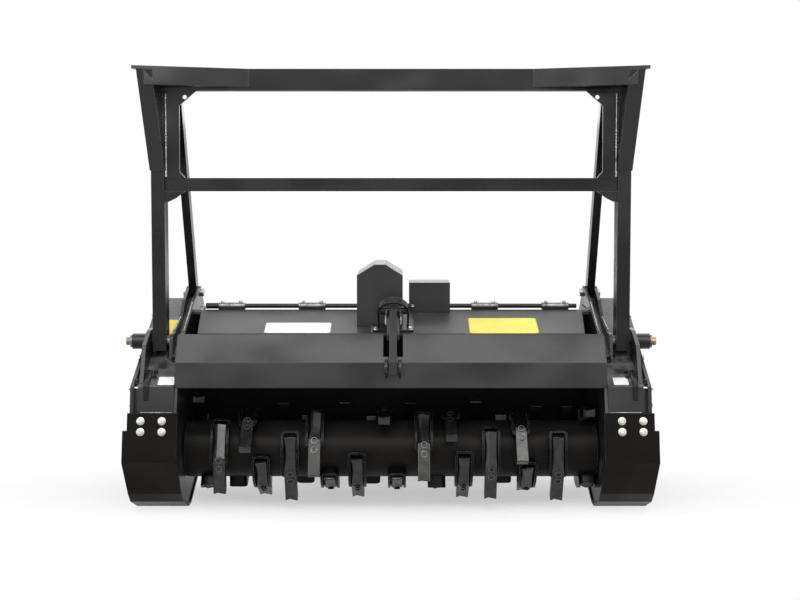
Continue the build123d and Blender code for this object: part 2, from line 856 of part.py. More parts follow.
# Hose hood with its clipped roof, open at the back
def hose_hood():
    floor = deck_front_height
    half, top_half = hood_width / 2, hood_top_width / 2

    def shape(inset):
        return [
            (-half + inset, floor), (-half + inset, hood_shoulder - inset), (-top_half, hood_top - inset),
            (top_half, hood_top - inset), (half - inset, hood_shoulder - inset), (half - inset, floor),
        ]

    plane = Plane(origin=(hood_centre, along(hood_back), 0), x_dir=(1, 0, 0), z_dir=(0, -1, 0))
    hood = plane * extrude(make_face(Polyline(*shape(0), close=True)), amount=hood_back - hood_front)
    hollow = plane * Pos(0, 0, -overrun) * extrude(
        make_face(Polyline(*shape(hood_wall), close=True)), amount=hood_back - hood_front - hood_wall + overrun)
    return hood - hollow


def valve_cover():
    half = cover_width / 2
    low = (cover_centre - half, along(cover_front), deck_front_height)
    high = (cover_centre + half, along(cover_back), cover_top)
    outer = block(low, high)
    hollow_low = (low[0] + cover_lip, low[1] + cover_lip, low[2] - overrun)
    hollow_high = (high[0] - cover_lip, high[1] + overrun, high[2] - cover_lip)
    return outer - block(hollow_low, hollow_high)


# Everything under the deck and the rear cover, to seat the guards on
def under_roof():
    path = deck_path + [(hinge_line_depth, hinge_line_height + hinge_barrel_radius)] + back_path[:2]
    return slab(path + [(path[-1][0], 0), (deck_front_depth, 0)], -plate_inner, plate_inner)


def hinge_line():
    rod = axle(hinge_line_depth, hinge_line_height, hinge_rod_radius, -hinge_rod_half, hinge_rod_half)
    for share in (-0.864, -0.43, 0.503, 0.885):
        middle = share * hinge_rod_half
        half = hinge_barrel_length / 2
        rod += axle(hinge_line_depth, hinge_line_height, hinge_barrel_radius, middle - half, middle + half)
        low = (middle - half, along(deck_rear_depth), deck_rear_height - hinge_tab_drop)
        rod += block(low, (middle + half, along(deck_rear_depth + hinge_tab_reach), hinge_line_height))
    return rod - parts["deck"] - parts["rear_cover"]


keep("hinge_line", hinge_line())
keep("hose_hood", hose_hood() - under_roof() - parts["cylinder_guard"] - parts["hinge_line"])
keep("valve_cover", valve_cover() - under_roof() - parts["cylinder_guard"] - parts["hinge_line"])


# Quick coupler at the back: plate with its top lip, lower shelf with wedge slots
def coupler_plate():
    half = coupler_width / 2
    back = coupler_depth + coupler_sheet
    path = [
        (coupler_depth, coupler_bottom), (coupler_depth, coupler_top),
        (coupler_depth + lip_reach - coupler_sheet, coupler_top),
        (coupler_depth + lip_reach, coupler_top - lip_drop),
    ]
    plate = slab(strip(path, -coupler_sheet), -half, half)
    low = (-half, along(back), coupler_bottom)
    plate += block(low, (half, along(coupler_depth + shelf_reach), coupler_bottom + shelf_sheet))
    middle = along((back + coupler_depth + shelf_reach) / 2)
    for side in (-1, 1):
        slot = extrude(SlotOverall(slot_length, slot_width), amount=shelf_sheet + overrun * 2)
        plate -= Pos(side * slot_spacing / 2, middle, coupler_bottom - overrun) * slot
    return plate


def coupler_webs():
    outline = [
        back_path[2], (coupler_depth, coupler_top), (coupler_depth, 0), (coupler_depth - foot_length, 0), back_path[4],
    ]
    webs = []
    for centre in web_centres:
        web = slab(outline, centre - web_sheet / 2, centre + web_sheet / 2)
        webs.append(web - slab(back_path, -plate_inner, plate_inner))
    return webs


keep_both("coupler_webs", coupler_webs())
keep("coupler_plate", coupler_plate())

os.makedirs("parts", exist_ok=True)
for name, shape in parts.items():
    shape.label = name
    export_step(shape, f"parts/{name}.step")
print(len(parts), "nodes written")
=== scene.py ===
import json
import math

import bmesh
import bpy
from mathutils import Matrix, Vector


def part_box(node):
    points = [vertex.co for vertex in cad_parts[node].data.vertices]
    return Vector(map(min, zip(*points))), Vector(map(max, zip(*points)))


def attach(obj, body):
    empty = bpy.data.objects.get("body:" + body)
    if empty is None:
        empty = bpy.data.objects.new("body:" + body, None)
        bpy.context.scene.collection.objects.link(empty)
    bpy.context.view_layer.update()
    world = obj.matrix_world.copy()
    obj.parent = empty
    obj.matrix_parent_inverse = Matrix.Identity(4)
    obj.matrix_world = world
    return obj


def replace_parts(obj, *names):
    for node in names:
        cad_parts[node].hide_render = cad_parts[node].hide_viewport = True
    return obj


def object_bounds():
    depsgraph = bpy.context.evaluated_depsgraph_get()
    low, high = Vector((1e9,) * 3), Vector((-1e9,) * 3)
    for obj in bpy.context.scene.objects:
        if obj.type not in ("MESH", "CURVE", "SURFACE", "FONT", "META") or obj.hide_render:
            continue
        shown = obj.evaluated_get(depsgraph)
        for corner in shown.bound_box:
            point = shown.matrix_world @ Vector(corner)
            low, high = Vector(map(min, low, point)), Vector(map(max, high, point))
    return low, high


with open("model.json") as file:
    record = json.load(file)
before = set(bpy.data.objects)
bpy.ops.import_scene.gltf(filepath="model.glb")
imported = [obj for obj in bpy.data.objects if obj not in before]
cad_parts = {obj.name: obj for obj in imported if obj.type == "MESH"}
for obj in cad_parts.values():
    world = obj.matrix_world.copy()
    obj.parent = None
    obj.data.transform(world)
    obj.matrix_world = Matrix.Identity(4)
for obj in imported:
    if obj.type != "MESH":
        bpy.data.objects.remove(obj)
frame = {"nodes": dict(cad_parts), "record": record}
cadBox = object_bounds()
nodes = frame["nodes"]
halfLength = (cadBox[1] - cadBox[0]).y / 2
print("frame loaded:", len(nodes), "nodes")


# a place from millimetres: across, depth behind the nose, height
def spot(across, depth, height):
    return Vector((across / 1000, depth / 1000 - halfLength, height / 1000))


# Camera, fitted to the photograph
view = {"lens": 57.8, "sensor": 36, "place": (0.0335, -5.132, 1.2315), "tilt": 86.4, "shift": -0.0427}
camera = bpy.data.objects.new("camera", bpy.data.cameras.new("camera"))
bpy.context.scene.collection.objects.link(camera)
camera.data.lens = view["lens"]
camera.data.sensor_width = view["sensor"]
camera.data.shift_y = view["shift"]
camera.location = view["place"]
camera.rotation_euler = (math.radians(view["tilt"]), 0, 0)
bpy.context.scene.camera = camera
bpy.context.scene.view_settings.view_transform = "Standard"


# A socket or colour in a material, with arithmetic written as Python
class Signal:
    def __init__(self, maker, socket):
        self.maker, self.socket = maker, socket

    def reckon(self, operation, *values):
        return self.maker.node("ShaderNodeMath", {"operation": operation}, dict(enumerate(values)))

    def __add__(self, other): return self.reckon("ADD", self, other)
    def __radd__(self, other): return self.reckon("ADD", other, self)
    def __sub__(self, other): return self.reckon("SUBTRACT", self, other)
    def __rsub__(self, other): return self.reckon("SUBTRACT", other, self)
    def __mul__(self, other): return self.reckon("MULTIPLY", self, other)
    def __rmul__(self, other): return self.reckon("MULTIPLY", other, self)

    def limited(self):
        return self.reckon("MINIMUM", self.reckon("MAXIMUM", self, 0.0), 1.0)

    def above(self, low, high):
        return self.maker.node("ShaderNodeMapRange", {"clamp": True}, {
            "Value": self, "From Min": low, "From Max": high, "To Min": 0.0, "To Max": 1.0})


# Adds the nodes of a material or world
class NodeMaker:
    def __init__(self, tree):
        self.tree = tree

    def node(self, kind, settings, values, output=0):
        made = self.tree.nodes.new(kind)
        for key, value in settings.items():
            setattr(made, key, value)
        for key, value in values.items():
            self.feed(made.inputs[key], value)
        return Signal(self, made.outputs[output])

    def feed(self, socket, value):
        if isinstance(value, Signal):
            self.tree.links.new(value.socket, socket)
        elif socket.type == "RGBA" and len(value) == 3:
            socket.default_value = (*value, 1)
        else:
            socket.default_value = value

    def join(self, signal, socket):
        self.tree.links.new(signal.socket, socket)

    # how much of a white surround is shown: all to the eye, a share of it to gloss and glass
    def wrap(self, gloss):
        seen = [self.node("ShaderNodeLightPath", {}, {}, kind) for kind in (
            "Is Camera Ray", "Is Glossy Ray", "Is Transmission Ray")]
        return (seen[0] + (seen[1] + seen[2]) * gloss).limited()


class Finish(NodeMaker):
    def __init__(self, name):
        self.material = bpy.data.materials.new(name)
        self.material.use_nodes = True
        super().__init__(self.material.node_tree)
        self.shader = self.tree.nodes["Principled BSDF"]
        self.output = self.tree.nodes["Material Output"]
        self.place = self.node("ShaderNodeTexCoord", {}, {}, "Object")

    def noise(self, scale, detail=3.0, rough=0.5, stretch=(1, 1, 1)):
        vector = self.node("ShaderNodeMapping", {}, {"Vector": self.place, "Scale": stretch})
        return self.node("ShaderNodeTexNoise", {}, {
            "Vector": vector, "Scale": scale, "Detail": detail, "Roughness": rough})

    def mix(self, share, low, high):
        return self.node("ShaderNodeMix", {"data_type": "RGBA"}, {"Factor": share, 6: low, 7: high}, 2)

    # 1 along edges and corners, from the difference between rounded and flat normals
    def edges(self, radius, low, high):
        rounded = self.node("ShaderNodeBevel", {"samples": 6}, {"Radius": radius})
        flat = self.node("ShaderNodeNewGeometry", {}, {}, "Normal")
        facing = self.node("ShaderNodeVectorMath", {"operation": "DOT_PRODUCT"}, {0: rounded, 1: flat}, "Value")
        return (1.0 - facing).above(low, high), rounded

    def upward(self):
        flat = self.node("ShaderNodeNewGeometry", {}, {}, "Normal")
        return self.node("ShaderNodeVectorMath", {"operation": "DOT_PRODUCT"}, {0: flat, 1: (0, 0, 1)}, "Value")

    def set(self, **values):
        for key, value in values.items():
            self.feed(self.shader.inputs[key.replace("_", " ")], value)
        return self.material


# grain sizes of all sprayed paint, and how deep its orange peel and the waves in the sheet are
coat = {
    "patch": 5.0, "peel": 240.0, "grit": 420.0, "chip": 60.0, "dustAndSheen": 14.0, "sheet": 3.2,
    "peelDepth": 0.0004, "waveDepth": 0.03,
}


# Sprayed paint: sheet that is not quite flat, orange peel, faint dust on upper faces that on the side boxes is also a
# painted sheen, worn edges, and a painted highlight along edges and corners
def paint(name, colour, rough, worn=(0.30, 0.30, 0.31), dustAndSheen=0.3, dustAndSheenColour=(0.16, 0.15, 0.14), wear=0.35,
          rounding=0.0030, peel=0.12, shine=0.5, rim=0.5, edgeHighlightTone=0.06):
    made = Finish(name)
    patches = made.noise(coat["patch"], 4.0, 0.6)
    fine = made.noise(coat["peel"], 2.0)
    edge, rounded = made.edges(rounding, 0.03, 0.30)
    chips = (made.noise(coat["chip"], 5.0, 0.7) + edge * 0.28).above(0.66, 0.74) * edge
    # dust on upper faces; on the side boxes, where it is strong and light, it is also a painted sheen of a lamp
    dustAndSheenCover = made.upward().above(0.25, 0.95) * made.noise(coat["dustAndSheen"], 6.0, 0.65).above(0.38, 0.7) * dustAndSheen
    tone = made.mix(patches.above(0.3, 0.7), colour, tuple(value * 1.35 + 0.001 for value in colour))
    tone = made.mix(dustAndSheenCover, tone, dustAndSheenColour)
    # painted highlight: edges and corners lightened towards a grey, as if catching light; rim sets how much
    tone = made.mix(edge * rim, tone, (edgeHighlightTone, edgeHighlightTone, edgeHighlightTone * 1.02))
    tone = made.mix(chips * wear, tone, worn)
    sheet = made.node("ShaderNodeBump", {}, {
        "Strength": 1.0, "Distance": coat["waveDepth"], "Height": made.noise(coat["sheet"], 1.0), "Normal": rounded})
    normal = made.node("ShaderNodeBump", {}, {
        "Strength": peel, "Distance": coat["peelDepth"], "Height": made.noise(coat["grit"], 1.0) * 0.5 + fine,
        "Normal": sheet})
    roughness = (patches * 0.14 + (rough - 0.07) + dustAndSheenCover * 0.4).limited()
    return made.set(Base_Color=tone, Roughness=roughness, Normal=normal, Specular_IOR_Level=shine)


# sizes of the stains and scratches on all bare metal
bare = {"rounding": 0.0012, "stain": 38.0, "scratch": 160.0, "scratchDepth": 0.0005}


# Bare or plated metal with fine machining scratches, stains, and a painted highlight along its edges
def metal(name, colour, rough, dark, stretch=(1, 1, 1), scratch=0.15, metallic=1.0):
    made = Finish(name)
    edge, rounded = made.edges(bare["rounding"], 0.03, 0.3)
    stain = made.noise(bare["stain"], 5.0, 0.6).above(0.35, 0.72)
    lines = made.noise(bare["scratch"], 3.0, 0.6, stretch)
    tone = made.mix(stain, colour, dark)
    # painted highlight: edges and corners lighter, as if catching light
    tone = made.mix(edge * 0.4, tone, tuple(min(1.0, value * 1.5) for value in colour))
    normal = made.node("ShaderNodeBump", {}, {
        "Strength": scratch, "Distance": bare["scratchDepth"], "Height": lines, "Normal": rounded})
    roughness = (lines * 0.2 + stain * 0.15 + (rough - 0.12)).limited()
    return made.set(Base_Color=tone, Roughness=roughness, Metallic=metallic, Normal=normal)


paints = {
    "blackPaint": {"colour": (0.011, 0.011, 0.0115), "rough": 0.30},
    "framePaint": {"colour": (0.0042, 0.0042, 0.0044), "rough": 0.24, "dustAndSheen": 0.12, "shine": 0.42,
                   "rim": 0.7, "edgeHighlightTone": 0.09},
    "wingPaint": {"colour": (0.013, 0.0128, 0.013), "rough": 0.26, "dustAndSheen": 0.12, "rim": 0.8, "edgeHighlightTone": 0.14},
    "hoodPaint": {"colour": (0.016, 0.016, 0.0165), "rough": 0.30, "dustAndSheen": 0.1},
    # the side boxes' strong light dust is also a painted sheen of a lamp on their upper slopes
    "boxPaint": {"colour": (0.012, 0.012, 0.0125), "rough": 0.30, "dustAndSheen": 0.9, "dustAndSheenColour": (0.24, 0.24, 0.24)},
    "gatePaint": {"colour": (0.014, 0.014, 0.0145), "rough": 0.22, "dustAndSheen": 0.15},
    "shoePaint": {"colour": (0.0066, 0.0051, 0.0041), "rough": 0.33, "worn": (0.34, 0.31, 0.28), "dustAndSheen": 0.04,
                  "wear": 0.4, "shine": 0.08},
    "rotorPaint": {"colour": (0.0082, 0.0074, 0.0064), "rough": 0.36, "worn": (0.45, 0.45, 0.45), "dustAndSheen": 0.04,
                   "wear": 0.9, "peel": 0.2, "shine": 0.09, "edgeHighlightTone": 0.07},
    # holders far darker than the drum paint: painted shade of the pockets
    "holderShadePaint": {"colour": (0.0020, 0.0019, 0.0018), "rough": 0.24, "worn": (0.5, 0.5, 0.5), "dustAndSheen": 0.0,
                    "wear": 0.5, "peel": 0.25, "shine": 0.16, "rim": 0.1, "edgeHighlightTone": 0.03},
    # near-black paint for the chamber wall and the tooth bolts' recesses: painted shade inside them
    "chamberShadePaint": {"colour": (0.0022, 0.0023, 0.0024), "rough": 0.5, "worn": (0.2, 0.2, 0.2), "dustAndSheen": 0.05,
                     "shine": 0.1},
    "deckPaint": {"colour": (0.026, 0.026, 0.0265), "rough": 0.42, "worn": (0.35, 0.35, 0.36), "dustAndSheen": 0.2},
    "cylinderPaint": {"colour": (0.006, 0.006, 0.0062), "rough": 0.22, "worn": (0.3, 0.3, 0.3), "dustAndSheen": 0.1},
    "castIron": {"colour": (0.02, 0.02, 0.02), "rough": 0.45, "worn": (0.25, 0.25, 0.25)},
    "toothSteel": {"colour": (0.0050, 0.0050, 0.0049), "rough": 0.2, "worn": (0.45, 0.45, 0.46), "dustAndSheen": 0.05,
                   "wear": 0.8, "rounding": 0.0012, "shine": 0.35, "edgeHighlightTone": 0.12},
    "whitePlate": {"colour": (0.86, 0.86, 0.84), "rough": 0.35, "worn": (0.5, 0.5, 0.5), "dustAndSheen": 0.05, "peel": 0.03},
    "yellowPlate": {"colour": (0.80, 0.62, 0.04), "rough": 0.35, "worn": (0.5, 0.45, 0.2), "dustAndSheen": 0.05,
                    "peel": 0.03},
}
metals = {
    # the teeth's outer facets: a brighter metal on black paint, a painted sheen of their lit faces
    "toothFaceSheen": {"colour": (0.080, 0.079, 0.078), "rough": 0.18, "dark": (0.052, 0.050, 0.048),
                  "stretch": (1, 0.12, 0.12), "scratch": 0.12, "metallic": 0.92},
    "zincSteel": {"colour": (0.78, 0.77, 0.70), "rough": 0.36, "dark": (0.50, 0.49, 0.42)},
    "dullSteel": {"colour": (0.30, 0.30, 0.31), "rough": 0.34, "dark": (0.06, 0.06, 0.06), "stretch": (0.2, 1, 1),
                  "scratch": 0.2},
    "bronzeBolt": {"colour": (0.42, 0.31, 0.20), "rough": 0.36, "dark": (0.16, 0.10, 0.06)},
    # light metal: the open ring's own colour, and painted highlights on welds, edges, post seams and the cylinder pipes
    "brightWeld": {"colour": (0.62, 0.62, 0.63), "rough": 0.24, "dark": (0.12, 0.12, 0.12), "scratch": 0.4},
    "darkBolt": {"colour": (0.07, 0.07, 0.07), "rough": 0.35, "dark": (0.03, 0.03, 0.03)},
}
finishes = {name: paint(name, **spec) for name, spec in paints.items()}
finishes.update({name: metal(name, **spec) for name, spec in metals.items()})
print("finishes made:", len(finishes))

# the finish of each packed slot, and of the nodes that look different from their slot
slotFinish = {
    "black_paint": "blackPaint", "frame_paint": "framePaint", "shoe_paint": "shoePaint",
    "rotor_paint": "rotorPaint", "tooth_steel": "toothSteel", "cylinder_paint": "cylinderPaint",
    "zinc_steel": "zincSteel", "cast_iron": "castIron",
}
nodeFinish = {
    "deck": "deckPaint", "hose_hood": "hoodPaint", "valve_cover": "hoodPaint", "gate_panel": "gatePaint",
    # the chamber wall is near-black: painted shade inside the rotor chamber
    "chamber_wall": "chamberShadePaint", "side_box_left": "boxPaint", "side_box_right": "boxPaint",
    "cylinder_guard": "framePaint", "gate_rod": "hoodPaint",
    "push_wing_left": "wingPaint", "push_wing_right": "wingPaint",
    "push_strut_left": "wingPaint", "push_strut_right": "wingPaint",
}
for part in frame["record"]["subparts"]:
    name = part["node"]
    finish = finishes[nodeFinish.get(name, slotFinish[part["material_slot"]])]
    for place in nodes[name].material_slots:
        place.material = finish


# Modelling helpers
def clearSelection():
    bpy.ops.object.select_all(action="DESELECT")


def startEdit(piece):
    clearSelection()
    piece.select_set(True)
    bpy.context.view_layer.objects.active = piece
    bpy.ops.object.mode_set(mode="EDIT")
    bpy.ops.mesh.select_mode(type="FACE")
    bpy.ops.mesh.select_all(action="DESELECT")


def pick(piece, test, kind="faces"):
    mesh = bmesh.from_edit_mesh(piece.data)
    for group in (mesh.verts, mesh.edges, mesh.faces):
        for item in group:
            item.select = False
    for item in getattr(mesh, kind):
        if test(item):
            item.select_set(True)
    bmesh.update_edit_mesh(piece.data)


def endEdit(piece, smoothTo=32):
    bpy.ops.mesh.select_all(action="SELECT")
    bpy.ops.mesh.normals_make_consistent(inside=False)
    bpy.ops.object.mode_set(mode="OBJECT")
    piece.select_set(True)
    bpy.ops.object.transform_apply(location=True, rotation=True, scale=True)
    bpy.ops.object.shade_smooth_by_angle(angle=math.radians(smoothTo))


def middleOf(face):
    return face.calc_center_median()


def edgeMiddle(edge):
    return (edge.verts[0].co + edge.verts[1].co) / 2


def facing(place, normal, spin=0.0):
    turn = Vector(normal).to_track_quat("Z", "Y").to_matrix().to_4x4()
    return Matrix.Translation(place) @ turn @ Matrix.Rotation(spin, 4, "Z")


def joined(piecesToJoin, name):
    clearSelection()
    for piece in piecesToJoin:
        piece.select_set(True)
    bpy.context.view_layer.objects.active = piecesToJoin[0]
    bpy.ops.object.join()
    piecesToJoin[0].name = name
    return piecesToJoin[0]


# One copy of a modelled piece for each place, joined as one object
def stamped(pattern, places, name):
    copies = []
    for place in places:
        mesh = pattern.data.copy()
        mesh.transform(place)
        if place.determinant() < 0:
            mesh.flip_normals()
        twin = bpy.data.objects.new(name, mesh)
        bpy.context.scene.collection.objects.link(twin)
        copies.append(twin)
    bpy.data.objects.remove(pattern)
    return joined(copies, name)


def finished(piece, body, finish, second=None):
    indices = [face.material_index for face in piece.data.polygons]
    piece.data.materials.clear()
    for name in (finish, second):
        if name:
            piece.data.materials.append(finishes[name])
    for face, index in zip(piece.data.polygons, indices):
        face.material_index = index if second else 0
    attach(piece, body)
    return piece


# A plate from a side outline of (depth, height) points, in millimetres round the origin
def outlinePlate(points, low, high):
    clearSelection()
    bpy.ops.mesh.primitive_circle_add(vertices=len(points), radius=1, fill_type="NGON")
    plate = bpy.context.object
    startEdit(plate)
    mesh = bmesh.from_edit_mesh(plate.data)
    mesh.verts.ensure_lookup_table()
    for vertex, (depth, height) in zip(mesh.verts, points):
        vertex.co = (low / 1000, depth / 1000, height / 1000)
    bmesh.update_edit_mesh(plate.data)
    bpy.ops.mesh.select_all(action="SELECT")
    bpy.ops.mesh.extrude_region_move(TRANSFORM_OT_translate={"value": ((high - low) / 1000, 0, 0)})
    bpy.ops.mesh.select_all(action="SELECT")
    bpy.ops.mesh.normals_make_consistent(inside=False)
    bpy.ops.mesh.select_all(action="DESELECT")
    return plate


# Rotor: each tooth sits in a long pocket on the drum. Sizes in millimetres, angles in degrees behind the tip
rotor = {
    "depth": 276, "height": 224, "drum": 107, "sunk": 3,
    "holder": 150, "holderWidth": 68, "lead": 33, "tail": 105,
    "endRadius": 16, "pocketWall": 8.5, "pocketDepth": 24,
    "tip": 202, "face": 150, "floor": 121, "toothWidth": 46, "faceStart": 44, "faceEnd": 95,
    "heel": 101, "seat": (89, 41), "chin": (0.87, -6), "toothEdge": 3, "smoothTo": 14,
    "ridge": 6.5, "notch": 7, "boltAngles": (29, 42), "boltSeat": (0.75, 2.5),
}
# across in millimetres, turn of the tip in degrees
teeth = [
    (-739, 95), (-688, 200), (-641, -47), (-589, 165), (-540, 11.5), (-486, -105), (-421, 120), (-377, -68),
    (-332, 150), (-286, -20), (-232, -133), (-180, 117), (-127, -100), (-77, 152), (-26, 46.5), (22, -133),
    (73, 117), (123, -26), (174, 180), (225, 25), (273, -98), (326, 110), (374, -60), (431, 150), (487, -2.5),
    (512, -113.5), (566, 130), (625, -68), (686, 130.5), (744, 204), (744, 58),
]


def polar(radius, trailing):
    angle = math.radians(-trailing)
    return (radius * math.cos(angle), radius * math.sin(angle))


def arcPoints(radius, start, end, steps):
    return [polar(radius, start + (end - start) * step / steps) for step in range(steps + 1)]


def toothPlaces():
    for across, tip in teeth:
        turn = Matrix.Rotation(math.radians(180 - tip), 4, "X")
        yield Matrix.Translation(spot(across, rotor["depth"], rotor["height"])) @ turn


def makeHolder():
    half = rotor["holderWidth"] / 2
    outer = arcPoints(rotor["holder"], rotor["lead"], rotor["tail"], 9)
    inner = arcPoints(rotor["drum"] - rotor["sunk"], rotor["tail"], rotor["lead"], 6)
    holder = outlinePlate(outer + inner, -half, half)
    # round the ends, then sink the pocket
    ends = [Vector((0, *polar(1, angle))) for angle in (rotor["lead"], rotor["tail"])]

    def cornerEdge(edge):
        run = edge.verts[1].co - edge.verts[0].co
        at = edgeMiddle(edge)
        outwards = Vector((0, at.y, at.z)).normalized()
        return abs(run.x) < 1e-6 and run.length > 0.03 and min((outwards - end).length for end in ends) < 0.1

    bpy.ops.mesh.select_mode(type="EDGE")
    pick(holder, cornerEdge, "edges")
    bpy.ops.mesh.bevel(offset=rotor["endRadius"] / 1000, segments=4, affect="EDGES")
    bpy.ops.mesh.select_mode(type="FACE")

    def topFace(face):
        at = Vector((0, *middleOf(face).yz))
        far = at.length > rotor["holder"] * 0.95 / 1000
        return far and abs(face.normal.x) < 0.2 and face.normal.dot(at.normalized()) > 0.9

    pick(holder, topFace)
    bpy.ops.mesh.inset(thickness=rotor["pocketWall"] / 1000, use_boundary=True)
    bpy.ops.mesh.extrude_region_shrink_fatten(TRANSFORM_OT_shrink_fatten={"value": -rotor["pocketDepth"] / 1000})
    endEdit(holder)
    return holder


def makeTooth():
    half = rotor["toothWidth"] / 2
    ridgeAt = -half / 3 / 1000
    tip = polar(rotor["tip"], 0)
    bend, tail = (polar(rotor["face"], rotor[angle]) for angle in ("faceStart", "faceEnd"))
    chinShare, chinAngle = rotor["chin"]
    inner = [polar(rotor["floor"], rotor["heel"])] + arcPoints(rotor["floor"], *rotor["seat"], 4)
    inner.append(polar(rotor["tip"] * chinShare, chinAngle))
    tooth = outlinePlate([tip, bend, tail] + inner, -half, half)
    # a ridge line raised along the outer face, and a notch in the tip
    bpy.ops.mesh.select_all(action="SELECT")
    bpy.ops.mesh.bisect(plane_co=(ridgeAt, 0, 0), plane_no=(1, 0, 0))
    corners = [Vector((0, *point)) / 1000 for point in (tip, bend, tail)]

    def onRidge(vertex):
        return abs(vertex.co.x - ridgeAt) < 1e-5

    mesh = bmesh.from_edit_mesh(tooth.data)
    for vertex in filter(onRidge, mesh.verts):
        outwards = Vector((0, vertex.co.y, vertex.co.z))
        near = [(outwards - corner).length < 1e-4 for corner in corners]
        if any(near[1:]):
            vertex.co += outwards.normalized() * rotor["ridge"] / 1000
        elif near[0]:
            vertex.co -= outwards.normalized() * rotor["notch"] / 1000
    bmesh.update_edit_mesh(tooth.data)

    def sharpEdge(edge):
        return edge.calc_face_angle(0) > math.radians(28) and not all(map(onRidge, edge.verts))

    bpy.ops.mesh.select_mode(type="EDGE")
    pick(tooth, sharpEdge, "edges")
    bpy.ops.mesh.bevel(offset=rotor["toothEdge"] / 1000, segments=2, affect="EDGES", clamp_overlap=True)
    bpy.ops.mesh.select_mode(type="FACE")
    # the two outer facets take the second finish, a brighter metal that paints the sheen of their lit faces
    mesh = bmesh.from_edit_mesh(tooth.data)
    for face in mesh.faces:
        outwards = Vector((0, *middleOf(face).yz)).normalized()
        if face.calc_area() > 2e-4 and face.normal.dot(outwards) > 0.35 and abs(face.normal.x) < 0.9:
            face.material_index = 1
    bmesh.update_edit_mesh(tooth.data)
    endEdit(tooth, rotor["smoothTo"])
    for name in ("toothSteel", "toothFaceSheen"):
        tooth.data.materials.append(finishes[name])
    return tooth


toothBolt = {
    "radius": 0.0122, "length": 0.012, "rim": 0.0022, "recess": 0.010, "gap": 0.0018, "head": 0.003,
    "socket": 0.0022, "socketDepth": 0.002,
}


# A counterbored bolt seen from outside: a dark ring with a socket head in it; the recess and head are near-black, a
# painted shade
def makeToothBolt():
    clearSelection()
    bpy.ops.mesh.primitive_cylinder_add(vertices=16, radius=toothBolt["radius"], depth=toothBolt["length"])
    bolt = bpy.context.object
    startEdit(bolt)
    pick(bolt, lambda face: face.normal.z > 0.9)
    bpy.ops.mesh.inset(thickness=toothBolt["rim"])
    bpy.ops.mesh.extrude_region_move(TRANSFORM_OT_translate={"value": (0, 0, -toothBolt["recess"])})
    bpy.ops.mesh.inset(thickness=toothBolt["gap"])
    bpy.ops.mesh.extrude_region_move(TRANSFORM_OT_translate={"value": (0, 0, toothBolt["head"])})
    bpy.ops.mesh.inset(thickness=toothBolt["socket"], depth=-toothBolt["socketDepth"])
    # the rim takes the second finish, bright steel that paints the glints round the hole
    mesh = bmesh.from_edit_mesh(bolt.data)
    for face in mesh.faces:
        at = middleOf(face)
        onRim = at.z > toothBolt["length"] / 2 - 5e-4 and at.xy.length > toothBolt["radius"] - toothBolt["rim"] + 1e-4
        face.material_index = 1 if onRim else 0
    bmesh.update_edit_mesh(bolt.data)
    endEdit(bolt)
    for name in ("chamberShadePaint", "dullSteel"):
        bolt.data.materials.append(finishes[name])
    return bolt


# the point and the outward way on a tooth's outer face at an angle behind the tip
def onFace(angle):
    tip, bend = Vector(polar(rotor["tip"], 0)), Vector(polar(rotor["face"], rotor["faceStart"]))
    ray = Vector(polar(1, angle))
    run = bend - tip
    share = (tip.x * ray.y - tip.y * ray.x) / (run.y * ray.x - run.x * ray.y)
    point, way = tip + run * share, Vector((-run.y, run.x)).normalized()
    return point, way if way.dot(point) > 0 else -way


holderPiece = stamped(makeHolder(), list(toothPlaces()), "holderPockets")
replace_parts(finished(holderPiece, "rotor", "holderShadePaint"), "rotor_holders")
toothPiece = stamped(makeTooth(), list(toothPlaces()), "cuttingTeeth")
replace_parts(finished(toothPiece, "rotor", "toothSteel", "toothFaceSheen"), "rotor_teeth")
boltPlaces = []
ridgeShare, seatDepth = rotor["boltSeat"]
for place in toothPlaces():
    for angle in rotor["boltAngles"]:
        point, way = (Vector((0, *pair)) for pair in onFace(angle))
        raised = (rotor["ridge"] + rotor["notch"]) * angle / rotor["faceStart"] - rotor["notch"]
        boltPlaces.append(place @ facing((point + way * (raised * ridgeShare - seatDepth)) / 1000, way))
finished(stamped(makeToothBolt(), boltPlaces, "toothBolts"), "rotor", "chamberShadePaint", "dullSteel")
print("rotor dressed:", len(teeth), "teeth")


# shares of a bolt's radius and height
boltShares = {"washer": 0.3, "washerRim": 0.08, "head": 0.82, "headRim": 0.14, "dish": 0.3}


# Bolt heads: a washer with a domed hexagon on it
def makeBolt(radius, height, sides=6):
    thick = height * boltShares["washer"]
    clearSelection()
    bpy.ops.mesh.primitive_cylinder_add(vertices=20, radius=radius, depth=thick, location=(0, 0, thick / 2))
    washer = bpy.context.object
    startEdit(washer)
    pick(washer, lambda face: face.normal.z > 0.9)
    bpy.ops.mesh.inset(thickness=radius * boltShares["washerRim"], depth=height * 0.06)
    endEdit(washer)
    clearSelection()
    bpy.ops.mesh.primitive_cylinder_add(
        vertices=sides, radius=radius * boltShares["head"], depth=height - thick, location=(0, 0, (height + thick) / 2))
    head = bpy.context.object
    startEdit(head)
    pick(head, lambda face: face.normal.z > 0.9)
    bpy.ops.mesh.inset(thickness=radius * boltShares["headRim"], depth=height * 0.1)
    bpy.ops.mesh.inset(thickness=radius * boltShares["dish"], depth=-height * 0.04)
    endEdit(head)
    return joined([washer, head], "bolt")


def normalOf(start, end):
    run = (end[0] - start[0], end[1] - start[1])
    long = math.hypot(*run)
    return Vector((0, -run[1] / long, run[0] / long))


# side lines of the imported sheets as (depth, height) pairs, in millimetres
deckLine = ((250, 669), (480, 738))
slopeLine = ((65.2, 494), (638, 770))
footLine = ((262, 681), (468, 761))
shoeLine = ((0, 225), (37, 402))


